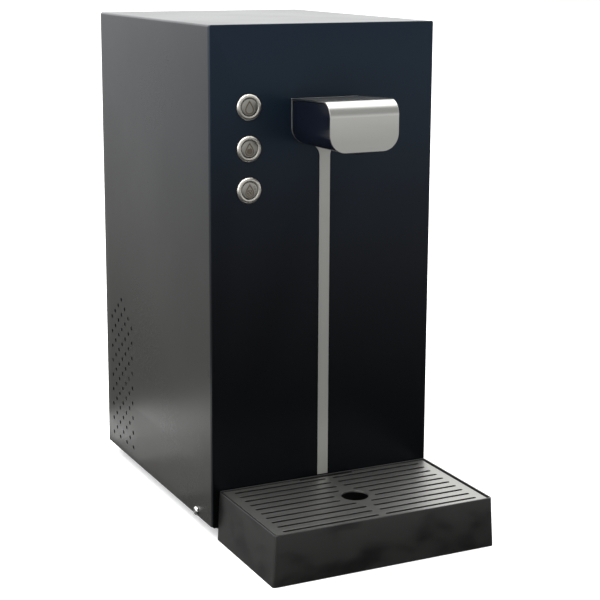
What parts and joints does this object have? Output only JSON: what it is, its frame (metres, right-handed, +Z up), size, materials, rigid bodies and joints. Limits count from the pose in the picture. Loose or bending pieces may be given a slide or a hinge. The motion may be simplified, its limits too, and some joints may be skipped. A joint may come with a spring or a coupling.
{
  "type": "countertop water dispenser",
  "caption": "Slim countertop chilled and sparkling water dispenser with a hooded spout, push buttons and a drip tray.",
  "frame": {"origin": "on the worktop, under the middle of the box around the whole object, tray and rear fittings included", "axes": "+Z up; +Y from the front panel towards the rear; +X to the right as the user faces the front"},
  "size_m": [0.2154, 0.404, 0.44],
  "materials": {
    "front_black": "satin powder coat, near black with a cold tint",
    "cover_black": "satin powder coat, charcoal",
    "stainless": "brushed",
    "button_satin": "satin, with an engraved ring and drop",
    "chrome": "polished",
    "grate_steel": "brushed along its slots",
    "tray_black": "moulded, faintly cloudy",
    "spout_black": "moulded",
    "rubber": "matt",
    "galvanised": "zinc-coated sheet",
    "compressor_black": "gloss enamel",
    "copper": "drawn copper",
    "aluminium": "plain",
    "foam": "moulded beads",
    "black_plastic": "moulded",
    "white_plastic": "moulded",
    "hose": "translucent",
    "brass": "plain",
    "circuit_board": "solder mask"
  },
  "bodies": {
    "cabinet": {"base_plate": "galvanised", "front_frame": "galvanised", "front_panel": "front_black", "wrap_cover": "cover_black", "rear_panel": "cover_black", "foot_front_left": "rubber", "foot_front_right": "rubber", "foot_rear_left": "rubber", "foot_rear_right": "rubber", "side_screw_left": "chrome", "side_screw_right": "chrome", "rear_screw_1": "chrome", "rear_screw_2": "chrome", "rear_screw_3": "chrome", "rear_screw_4": "chrome", "spout_back_plate": "stainless", "spout_cover": "stainless", "spout_body": "spout_black", "nozzle": "spout_black", "compressor": "compressor_black", "condenser": "aluminium", "fan_frame": "black_plastic", "filter_drier": "copper", "tank_shelf": "galvanised", "cold_tank": "foam", "tank_lid": "foam", "evaporator_coil": "copper", "discharge_tube": "copper", "suction_tube": "copper", "carbonator": "stainless", "pump_motor": "galvanised", "pump": "brass", "valve_manifold": "white_plastic", "solenoid_valve_1": "black_plastic", "solenoid_valve_2": "black_plastic", "solenoid_valve_3": "black_plastic", "dispense_tube": "hose", "inlet_hose": "hose", "pump_hose": "hose", "co2_hose": "hose", "chilled_hose": "hose", "water_inlet": "brass", "co2_inlet": "brass", "control_board": "circuit_board", "mains_inlet": "black_plastic", "thermostat": "white_plastic", "button_1_housing": "chrome", "button_1_nut": "brass", "button_2_housing": "chrome", "button_2_nut": "brass", "button_3_housing": "chrome", "button_3_nut": "brass"},
    "button_1": {"button_1_cap": "button_satin"},
    "button_2": {"button_2_cap": "button_satin"},
    "button_3": {"button_3_cap": "button_satin"},
    "drip_tray": {"drip_tray": "tray_black"},
    "drip_grate": {"drip_grate": "grate_steel"},
    "fan": {"fan_rotor": "black_plastic"},
    "power_rocker": {"power_rocker": "black_plastic"},
    "thermostat_knob": {"thermostat_knob": "black_plastic"}
  },
  "joints": [
    {"name": "button_1_press", "type": "slide", "parent": "cabinet", "child": "button_1", "axis": [0, 1, 0], "range_m": [0, 0.002], "stiffness_N_per_m": 400, "springref_m": -0.004},
    {"name": "button_2_press", "type": "slide", "parent": "cabinet", "child": "button_2", "axis": [0, 1, 0], "range_m": [0, 0.002], "stiffness_N_per_m": 400, "springref_m": -0.004},
    {"name": "button_3_press", "type": "slide", "parent": "cabinet", "child": "button_3", "axis": [0, 1, 0], "range_m": [0, 0.002], "stiffness_N_per_m": 400, "springref_m": -0.004},
    {"name": "tray_pull", "type": "slide", "parent": "cabinet", "child": "drip_tray", "axis": [0, -1, 0], "range_m": [0, 0.15]},
    {"name": "grate_lift", "type": "slide", "parent": "drip_tray", "child": "drip_grate", "axis": [0, 0, 1], "range_m": [0, 0.03]},
    {"name": "fan_spin", "type": "hinge", "parent": "cabinet", "child": "fan", "pos_m": [-0.054, 0.135, 0.086], "axis": [1, 0, 0], "continuous": true},
    {"name": "rocker_tip", "type": "hinge", "parent": "cabinet", "child": "power_rocker", "pos_m": [-0.05, 0.183, 0.204], "axis": [1, 0, 0], "range_deg": [0, 20]},
    {"name": "thermostat_turn", "type": "hinge", "parent": "cabinet", "child": "thermostat_knob", "pos_m": [0, 0.19, 0.212], "axis": [0, 1, 0], "range_deg": [0, 270]}
  ]
}
